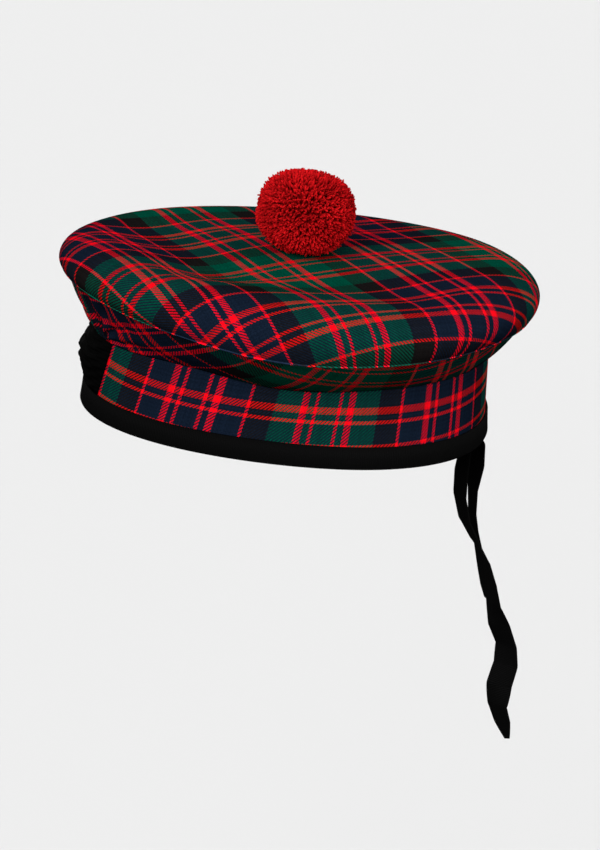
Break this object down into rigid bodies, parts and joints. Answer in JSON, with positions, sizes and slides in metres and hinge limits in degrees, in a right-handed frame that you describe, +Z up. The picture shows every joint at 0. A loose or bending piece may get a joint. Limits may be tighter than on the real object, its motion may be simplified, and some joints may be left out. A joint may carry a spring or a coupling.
{
  "type": "balmoral bonnet",
  "caption": "Soft tartan bonnet: a wide flattened crown on an upright headband with a ribbon-bound rim, a yarn pompom on top and ribbon tails behind, worn on the head.",
  "frame": {"origin": "middle of the head opening, in the plane of the rim", "axes": "+Z up through the crown, -X to the front of the hat, +X to the back where the tails hang, -Y to the wearer's left"},
  "size_m": [0.2427, 0.2178, 0.2896],
  "materials": {
    "tartan_crown": "woven twill tartan in dark green, navy, black and red",
    "tartan_band": "woven twill tartan in dark green, navy, black and red",
    "ribbed_ribbon": "matt black ribbed ribbon",
    "gathered_cloth": "soft black gathered cloth",
    "red_yarn": "cut wool yarn, matt"
  },
  "bodies": {
    "root": {"crown_top": "tartan_crown", "crown_underside": "tartan_crown", "headband": "tartan_band", "rim_binding": "ribbed_ribbon", "ruched_panel": "gathered_cloth", "tail_long": "ribbed_ribbon", "tail_short": "ribbed_ribbon", "toorie": "red_yarn"}
  },
  "joints": []
}
